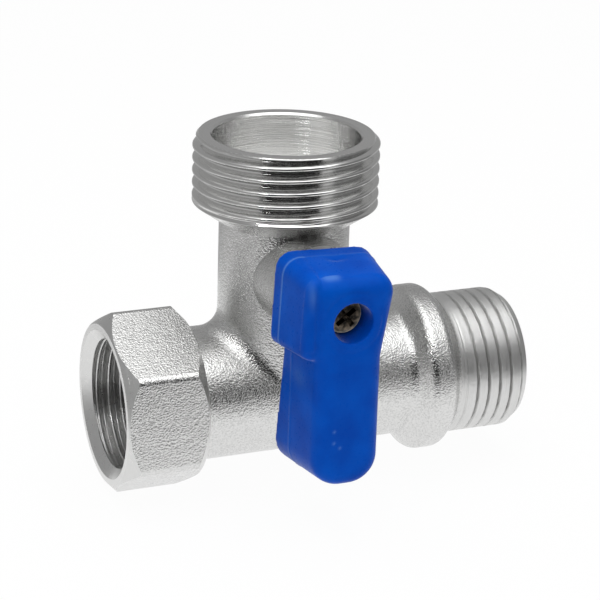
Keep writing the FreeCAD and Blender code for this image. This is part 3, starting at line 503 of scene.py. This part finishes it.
# Each vertex gets its share of painted highlight and pale speck, and its shift of the mould's surface.
highlight_and_speck_of = moulding.verts.layers.float.new("highlight_and_speck")
for vertex in moulding.verts:
    side = (vertex.co.x - BRANCH.x) / MM
    out = -vertex.co.y / MM
    rise = (vertex.co.z - BALL_Z) / MM
    shift = pale = 0.0
    if out > HANDLE_FRONT - FRONT_SKIN:
        shift -= GROOVE_DEPTH * bell(math.hypot(side, rise), GROOVE_R, GROOVE_HALF)
    on_edge = abs(side) > HUB_HALF or rise > HUB_TOP or rise < LEVER_FOOT
    if on_edge and abs(vertex.normal.y) < SIDEWAYS:
        seam = bell(out, PARTING, SEAM_HALF)
        shift += SEAM_RISE * seam
        # Painted highlight along the parting line.
        pale = (SEAM_HIGHLIGHT if side < BRIGHT_SEAM_SIDE and rise > BRIGHT_SEAM_FOOT else SEAM_FAINT_HIGHLIGHT) * seam
        if side < SMUDGE_SIDE:
            pale += SMUDGE_PALE * bell(out, *SMUDGE_OUT) * bell(rise, *SMUDGE_RISE)
    if rise > TOP_FOOT and vertex.normal.z > UPWARD:
        shift -= SINK_DEPTH * bell(side, *SINK_SIDE) * bell(out, *SINK_OUT)
    if out > LEDGE_BACK[0]:
        ledge = step(-side, -LEDGE_SIDE[0], LEDGE_SIDE[1]) * step(rise, *LEDGE_FOOT)
        shift += LEDGE_HEIGHT * ledge * step(out, *LEDGE_BACK)
        # Painted highlights on the thumb block's edge and along the front top edge.
        pale += BLOCK_HIGHLIGHT * bell(side, *BLOCK_SIDE) * bell(rise, *BLOCK_RISE)
        pale += EDGE_HIGHLIGHT * bell(rise, *EDGE_RISE) * bell(side, *EDGE_SIDE, power=4)
        for speck_side, speck_rise in SPECKS:
            pale += SPECK_PALE * bell(math.hypot(side - speck_side, rise - speck_rise), 0.0, SPECK_HALF)
    vertex[highlight_and_speck_of] = pale
    vertex.co += vertex.normal * shift * MM
    vertex.co.y = max(vertex.co.y, -HANDLE_FRONT * MM)
for face in moulding.faces:
    face.smooth = True
moulding.to_mesh(handle_piece.data)
moulding.free()
handle_piece.data.materials.clear()
handle_piece.data.materials.append(blue_abs)
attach(handle_piece, "lever")
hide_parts("handle")
handle_piece.visible_glossy = False

# Handle screw: a small pan-head machine screw of blackened steel with a cross recess, a little rusty,
# sunk in the handle's front and screwed into the stem.
RUST_PATCH = 0.7 * MM
black_steel, tree = bare_material("blackened_steel")
rust = add(tree, "ShaderNodeTexNoise", {
    "Vector": add(tree, "ShaderNodeTexCoord").outputs["Object"], "Scale": 1 / RUST_PATCH, "Detail": 4.0})
tone = add(tree, "ShaderNodeValToRGB", {"Fac": rust.outputs["Fac"]})
for stop, position, tint in zip(tone.color_ramp.elements, (0.4, 0.65), ("#2A2826", "#6E6458")):
    stop.position, stop.color = position, linear(tint)
bump = add(tree, "ShaderNodeBump", {"Height": rust.outputs["Fac"], "Strength": 1.0, "Distance": 0.07 * MM})
skin = add(tree, "ShaderNodeBsdfPrincipled", {
    "Base Color": tone.outputs["Color"], "Metallic": 1.0, "Roughness": 0.38,
    "Normal": bump.outputs["Normal"]})
add(tree, "ShaderNodeOutputMaterial", {"Surface": skin.outputs[0]})

HEAD_FOOT, HEAD_R, HEAD_RISE, SHANK_R, SHANK = 21.0, 2.6, 1.9, 1.47, 6.5
HEAD_RIM, DOME_R, DOME_STEPS = 0.8, 1.25, 8
WING_HALF, RECESS_TURN = 0.36, 38
WING = [(-1.75, 2.4), (1.75, 2.4), (1.55, 1.5), (0.55, 0.35), (-0.55, 0.35), (-1.55, 1.5)]
profile = [(0, -SHANK), (SHANK_R - 0.3, -SHANK), (SHANK_R, -SHANK + 0.4), (SHANK_R, 0.0),
           (HEAD_R - 0.1, 0.0), (HEAD_R, 0.12), (HEAD_R, HEAD_RIM)]
for number in range(1, DOME_STEPS + 1):
    lean = math.radians(90) * number / DOME_STEPS
    profile.append((HEAD_R - DOME_R + DOME_R * math.cos(lean),
                    HEAD_RIM + (HEAD_RISE - HEAD_RIM) * math.sin(lean)))
profile.append((0, HEAD_RISE))
turned = bmesh.new()
points = [turned.verts.new((r * MM, 0, z * MM)) for r, z in profile]
lines = [turned.edges.new(pair) for pair in zip(points, points[1:])]
bmesh.ops.spin(
    turned, geom=points + lines, cent=(0, 0, 0), axis=(0, 0, 1), angle=math.tau, steps=64, use_merge=True)
bmesh.ops.remove_doubles(turned, verts=turned.verts, dist=MERGE)
bmesh.ops.recalc_face_normals(turned, faces=turned.faces)
screw_mesh = bpy.data.meshes.new("screw")
turned.to_mesh(screw_mesh)
turned.free()
screw_piece = placed("cross_recess_screw", screw_mesh)
for turn in (RECESS_TURN, 90 + RECESS_TURN):
    wedge = bmesh.new()
    near_side = [wedge.verts.new((x * MM, -WING_HALF * MM, z * MM)) for x, z in WING]
    wedge.faces.new(near_side)
    grown = bmesh.ops.extrude_face_region(wedge, geom=wedge.faces[:])
    moved = [item for item in grown["geom"] if isinstance(item, bmesh.types.BMVert)]
    bmesh.ops.translate(wedge, verts=moved, vec=(0, 2 * WING_HALF * MM, 0))
    bmesh.ops.rotate(wedge, verts=wedge.verts, matrix=Matrix.Rotation(math.radians(turn), 3, "Z"))
    bmesh.ops.recalc_face_normals(wedge, faces=wedge.faces)
    wedge_mesh = bpy.data.meshes.new("recess_wedge")
    wedge.to_mesh(wedge_mesh)
    wedge.free()
    cutter = placed("recess_wedge", wedge_mesh)
    slot_cut = screw_piece.modifiers.new("recess", "BOOLEAN")
    slot_cut.object = cutter
    slot_cut.solver = "EXACT"
    cut_mesh = bpy.data.meshes.new_from_object(
        screw_piece.evaluated_get(bpy.context.evaluated_depsgraph_get()))
    screw_piece.modifiers.remove(slot_cut)
    screw_piece.data = cut_mesh
    bpy.data.objects.remove(cutter)
facing_front = Matrix.Rotation(math.radians(90), 4, "X")
screw_piece.data.transform(Matrix.Translation((BRANCH.x, -HEAD_FOOT * MM, BALL_Z)) @ facing_front)
screw_piece.data.shade_smooth()
screw_piece.data.set_sharp_from_angle(angle=math.radians(35))
screw_piece.data.materials.clear()
screw_piece.data.materials.append(black_steel)
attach(screw_piece, "lever")
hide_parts("handle_screw")

# Studio: a white table in a white tent, with a large soft light above, one more behind it that the metal
# does not mirror, and a small lamp at the left.
TABLE_HALF, TABLE_GLOW, TENT_LIGHT = 3.0, 0.96, 0.42
floor_z = cad_box[0].z
floor_mesh = bpy.data.meshes.new("table")
table = bmesh.new()
bmesh.ops.create_grid(table, x_segments=1, y_segments=1, size=TABLE_HALF)
bmesh.ops.translate(table, verts=table.verts, vec=(0, 0, floor_z))
table.to_mesh(floor_mesh)
table.free()
floor = placed("table", floor_mesh)


def shown(tree):
    """1 for a ray that the eye, a mirror or glass sees, which gets plain white, and 0 for any other."""
    ray = add(tree, "ShaderNodeLightPath").outputs
    seen = add(tree, "ShaderNodeMath", {
        0: ray["Is Camera Ray"], 1: ray["Is Glossy Ray"]}, operation="MAXIMUM")
    return add(tree, "ShaderNodeMath", {
        0: seen.outputs[0], 1: ray["Is Transmission Ray"]}, operation="MAXIMUM").outputs[0]


white_table, tree = bare_material("white_table")
share = add(tree, "ShaderNodeMath", {0: shown(tree), 1: TABLE_GLOW}, operation="MULTIPLY")
paint = add(tree, "ShaderNodeBsdfDiffuse", {"Color": linear("#F2F2F2")})
glow = add(tree, "ShaderNodeEmission", {"Color": linear("#FFFFFF"), "Strength": 1.0})
mixed = add(tree, "ShaderNodeMixShader", {0: share.outputs[0], 1: paint.outputs[0], 2: glow.outputs[0]})
add(tree, "ShaderNodeOutputMaterial", {"Surface": mixed.outputs[0]})
floor_mesh.materials.append(white_table)

world = bpy.data.worlds.new("white_tent")
bpy.context.scene.world = world
world.use_nodes = True
tree = world.node_tree
tree.nodes.clear()
strength = add(tree, "ShaderNodeMapRange", {"Value": shown(tree), 3: TENT_LIGHT, 4: 1.0})
sky = add(tree, "ShaderNodeBackground", {"Color": linear("#FFFFFF"), "Strength": strength.outputs[0]})
add(tree, "ShaderNodeOutputWorld", {"Surface": sky.outputs[0]})

CENTRE = Vector((28.5, 0, 12.5)) * MM
for name, direction, distance, side, power, mirrored in (
        ("top_softbox", (-0.02, -0.30, 0.95), 0.36, 0.42, 0.62, True),
        ("high_fill", (0.0, 0.20, 0.98), 0.36, 0.30, 0.60, False),
        ("left_lamp", (-0.60, -0.48, 0.61), 0.40, 0.06, 0.13, True)):
    lamp = bpy.data.lights.new(name, "AREA")
    lamp.shape = "SQUARE"
    lamp.size = side
    lamp.energy = power
    light = placed(name, lamp)
    aim = Vector(direction).normalized()
    light.location = CENTRE + aim * distance
    light.rotation_mode = "QUATERNION"
    light.rotation_quaternion = aim.to_track_quat("Z", "Y")
    light.visible_glossy = mirrored

# Grey cards stand round the white table on a circle. Each has a foot that lies on the table up to a
# hand's breadth from the valve, and is lighter towards its top. Only gloss shows them, as the dark bands.
# A card goes from one bearing to the next, in degrees from the front, and is tinted by degrees of height.
TENT_RADIUS, TENT_STEP, FOOT_HOLE, FOOT_LIFT = 0.6, 6, 0.082, 0.5 * MM
FOOT = math.degrees(math.asin((floor_z + FOOT_LIFT - CENTRE.z) / TENT_RADIUS))
for name, west, east, tints in (
        ("front_left_card", -54, 24, ((FOOT, "#2C2C2C"), (28, "#2C2C2C"), (42, "#989898"), (53, "#F0F0F0"))),
        ("front_right_card", 24, 42, ((FOOT, "#C4C4C4"), (20, "#C4C4C4"), (36, "#CCCCCC"), (52, "#EEEEEE"))),
        ("right_card", 42, 100, ((FOOT, "#808080"), (44, "#909090"), (60, "#E0E0E0"))),
        ("back_card", 100, 306, ((FOOT, "#B8B8B8"), (3, "#A0A0A0"), (50, "#A0A0A0"), (72, "#D8D8D8")))):
    card_paint, tree = bare_material(name)
    spot = add(tree, "ShaderNodeSeparateXYZ", {0: add(tree, "ShaderNodeTexCoord").outputs["Object"]})
    heights = [CENTRE.z + TENT_RADIUS * math.sin(math.radians(lift)) for lift, tint in tints]
    rise = add(tree, "ShaderNodeMapRange", {"Value": spot.outputs["Z"], 1: heights[0], 2: heights[-1]})
    shade = add(tree, "ShaderNodeValToRGB", {"Fac": rise.outputs[0]})
    stops = shade.color_ramp.elements
    while len(stops) < len(tints):
        stops.new(1.0)
    for stop, height, (lift, tint) in zip(stops, heights, tints):
        stop.position = (height - heights[0]) / (heights[-1] - heights[0])
        stop.color = linear(tint)
    paper = add(tree, "ShaderNodeEmission", {"Color": shade.outputs[0], "Strength": 1.0})
    add(tree, "ShaderNodeOutputMaterial", {"Surface": paper.outputs[0]})
    high = tints[-1][0]
    wide, tall = round((east - west) / TENT_STEP), round((high - FOOT) / TENT_STEP)
    sheet = bmesh.new()
    rows = []
    for row in range(-1, tall + 1):
        lift = math.radians(FOOT + (high - FOOT) * max(row, 0) / tall)
        reach = FOOT_HOLE if row < 0 else TENT_RADIUS * math.cos(lift)
        row_points = []
        for column in range(wide + 1):
            turn = math.radians(west + (east - west) * column / wide)
            row_points.append(sheet.verts.new(CENTRE + Vector(
                (math.sin(turn) * reach, -math.cos(turn) * reach, TENT_RADIUS * math.sin(lift)))))
        rows.append(row_points)
    for lower, upper in zip(rows, rows[1:]):
        for column in range(wide):
            sheet.faces.new((lower[column], lower[column + 1], upper[column + 1], upper[column]))
    card_mesh = bpy.data.meshes.new(name)
    sheet.to_mesh(card_mesh)
    sheet.free()
    card_mesh.materials.append(card_paint)
    card = placed(name, card_mesh)
    card.visible_camera = False
    card.visible_shadow = False
    card.visible_diffuse = False

# Camera: a long lens, a little above the valve and towards the nut's side, held a touch off level.
CAMERA_PLACE = Vector((-90.12, -283.33, 127.64)) * MM
azimuth, elevation, roll = (math.radians(angle) for angle in (22.721, 20.549, 1.848))
lens = bpy.data.cameras.new("camera")
lens.lens = 136.05
lens.sensor_width = 36.0
lens.clip_start = 0.01
lens.clip_end = 20.0
right = Vector((math.cos(azimuth), -math.sin(azimuth), 0))
ahead = Vector((math.sin(azimuth), math.cos(azimuth), 0))
up = ahead * math.sin(elevation) + Vector((0, 0, math.cos(elevation)))
across = right * math.cos(roll) + up * math.sin(roll)
upright = up * math.cos(roll) - right * math.sin(roll)
back = across.cross(upright)
camera = placed("camera", lens)
camera.matrix_world = Matrix.Translation(CAMERA_PLACE) @ Matrix(
    (across, upright, back)).transposed().to_4x4()
bpy.context.scene.camera = camera
bpy.context.scene.view_settings.view_transform = "Standard"
